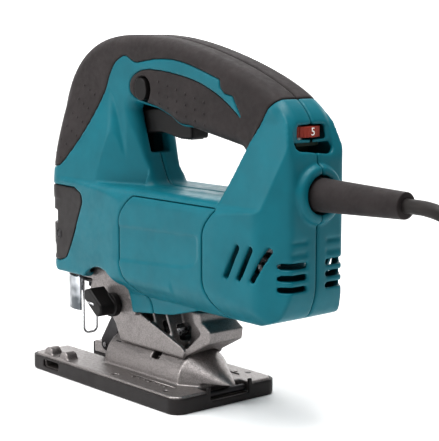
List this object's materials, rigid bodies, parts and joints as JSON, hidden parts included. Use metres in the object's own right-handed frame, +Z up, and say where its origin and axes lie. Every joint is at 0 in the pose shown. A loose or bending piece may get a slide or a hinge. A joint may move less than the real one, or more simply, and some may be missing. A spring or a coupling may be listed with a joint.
{
  "type": "jigsaw power tool",
  "caption": "Corded top-handle jigsaw: motor, gearing and reciprocating plunger in a plastic casing, on a base that tilts and slides.",
  "frame": {"origin": "centre of the sole, on the face that rests on the work", "axes": "+Z up along the plunger stroke; -X forward, towards the blade end; +X towards the cord; -Y the tool's own left side, with the orbital selector"},
  "size_m": [0.4612, 0.1082, 0.2085],
  "materials": {
    "teal_plastic": "satin, fine grain",
    "black_rubber": "soft matt with raised dots",
    "black_plastic": "satin",
    "dark_plastic": "satin",
    "cast_aluminium": "sand cast, bead blasted",
    "base_aluminium": "cast with machined faces",
    "chrome": "polished",
    "steel": "ground",
    "blackened_steel": "blackened and oiled",
    "lamination_steel": "stacked laminations",
    "copper_wire": "varnished copper",
    "commutator_copper": "turned",
    "carbon": "pressed carbon",
    "brass": "drawn",
    "sintered_bronze": "sintered",
    "red_plastic": "satin, ribbed edge",
    "circuit_board": "coated board with potted parts",
    "cord_rubber": "matt rubber sheath"
  },
  "bodies": {
    "housing": {"housing_left": "teal_plastic", "housing_right": "teal_plastic", "front_cover": "black_plastic", "motor_housing": "teal_plastic", "grip_left": "black_rubber", "grip_right": "black_rubber", "gear_housing": "cast_aluminium", "field_stator": "lamination_steel", "field_coils": "copper_wire", "fan_baffle": "dark_plastic", "front_bearing": "steel", "rear_bearing": "steel", "gear_bearing": "steel", "carbon_brushes": "carbon", "brush_holders": "brass", "brush_springs": "steel", "lower_rod_bush": "sintered_bronze", "upper_rod_bush": "sintered_bronze", "retainer_pin": "steel", "wire_guard": "steel", "switch_body": "dark_plastic", "trigger_spring": "steel", "dial_spindle": "steel", "control_board": "circuit_board", "casing_screws": "blackened_steel", "cord_guard": "black_rubber", "cord_tube": "cord_rubber", "cord_tail": "cord_rubber", "cord_coil": "cord_rubber", "plug_body": "black_plastic", "plug_pins": "steel"},
    "armature": {"armature_shaft": "steel", "armature_core": "lamination_steel", "armature_windings": "copper_wire", "commutator": "commutator_copper", "cooling_fan": "dark_plastic"},
    "gear": {"drive_gear": "steel", "gear_shaft": "steel", "crank_pin": "steel"},
    "plunger": {"plunger_rod": "steel", "plunger_yoke": "steel", "blade_clamp": "blackened_steel"},
    "clamp_sleeve": {"clamp_sleeve": "blackened_steel"},
    "retainer": {"roller_fork": "blackened_steel", "roller_pin": "steel"},
    "roller": {"roller": "steel"},
    "opener": {"opener_lever": "chrome"},
    "orbital_selector": {"orbital_knob": "dark_plastic"},
    "base_clamp": {"base_bolt": "blackened_steel", "clamp_washer": "steel", "slide_nut": "steel"},
    "base": {"base_plate": "base_aluminium", "base_shoe": "black_plastic", "shoe_screws": "blackened_steel", "hex_key": "blackened_steel"},
    "trigger": {"trigger": "dark_plastic"},
    "lock_button": {"lock_button": "dark_plastic"},
    "speed_dial": {"speed_dial": "red_plastic"}
  },
  "joints": [
    {"name": "armature_spin", "type": "hinge", "parent": "housing", "child": "armature", "pos_m": [0.05, 0, 0.088], "axis": [1, 0, 0], "continuous": true},
    {"name": "gear_spin", "type": "hinge", "parent": "housing", "child": "gear", "pos_m": [-0.027, 0, 0.10975], "axis": [1, 0, 0], "continuous": true},
    {"name": "plunger_stroke", "type": "slide", "parent": "housing", "child": "plunger", "axis": [0, 0, 1], "range_m": [-0.026, 0]},
    {"name": "clamp_release", "type": "hinge", "parent": "plunger", "child": "clamp_sleeve", "pos_m": [-0.048, 0, 0.055], "axis": [0, 0, 1], "range_deg": [-60, 0]},
    {"name": "retainer_swing", "type": "hinge", "parent": "housing", "child": "retainer", "pos_m": [-0.02, 0, 0.039], "axis": [0, 1, 0], "range_deg": [0, 5]},
    {"name": "roller_spin", "type": "hinge", "parent": "retainer", "child": "roller", "pos_m": [-0.037, 0, 0.016], "axis": [0, 1, 0], "continuous": true},
    {"name": "opener_swing", "type": "hinge", "parent": "housing", "child": "opener", "pos_m": [-0.048, 0, 0.05], "axis": [0, 0, 1], "range_deg": [-60, 0]},
    {"name": "orbital_select", "type": "hinge", "parent": "housing", "child": "orbital_selector", "pos_m": [-0.008, -0.026, 0.048], "axis": [0, 1, 0], "range_deg": [0, 90]},
    {"name": "base_slide", "type": "slide", "parent": "housing", "child": "base_clamp", "axis": [1, 0, 0], "range_m": [0, 0.01]},
    {"name": "base_tilt", "type": "hinge", "parent": "base_clamp", "child": "base", "pos_m": [0, 0, 0.01], "axis": [1, 0, 0], "range_deg": [-45, 45]},
    {"name": "trigger_pull", "type": "slide", "parent": "housing", "child": "trigger", "axis": [0, 0, 1], "range_m": [0, 0.005], "stiffness_N_per_m": 400, "springref_m": -0.004, "deforming": ["trigger_spring"]},
    {"name": "lock_press", "type": "slide", "parent": "housing", "child": "lock_button", "axis": [0, 1, 0], "range_m": [0, 0.003], "stiffness_N_per_m": 400, "springref_m": -0.002},
    {"name": "speed_turn", "type": "hinge", "parent": "housing", "child": "speed_dial", "pos_m": [0.129, 0, 0.159], "axis": [0, 0, 1], "range_deg": [-110, 110]}
  ],
  "couplings": [
    {"joint": "gear_spin", "follows": "armature_spin", "ratio": -0.22727},
    {"joint": "clamp_release", "follows": "opener_swing", "ratio": 1}
  ]
}
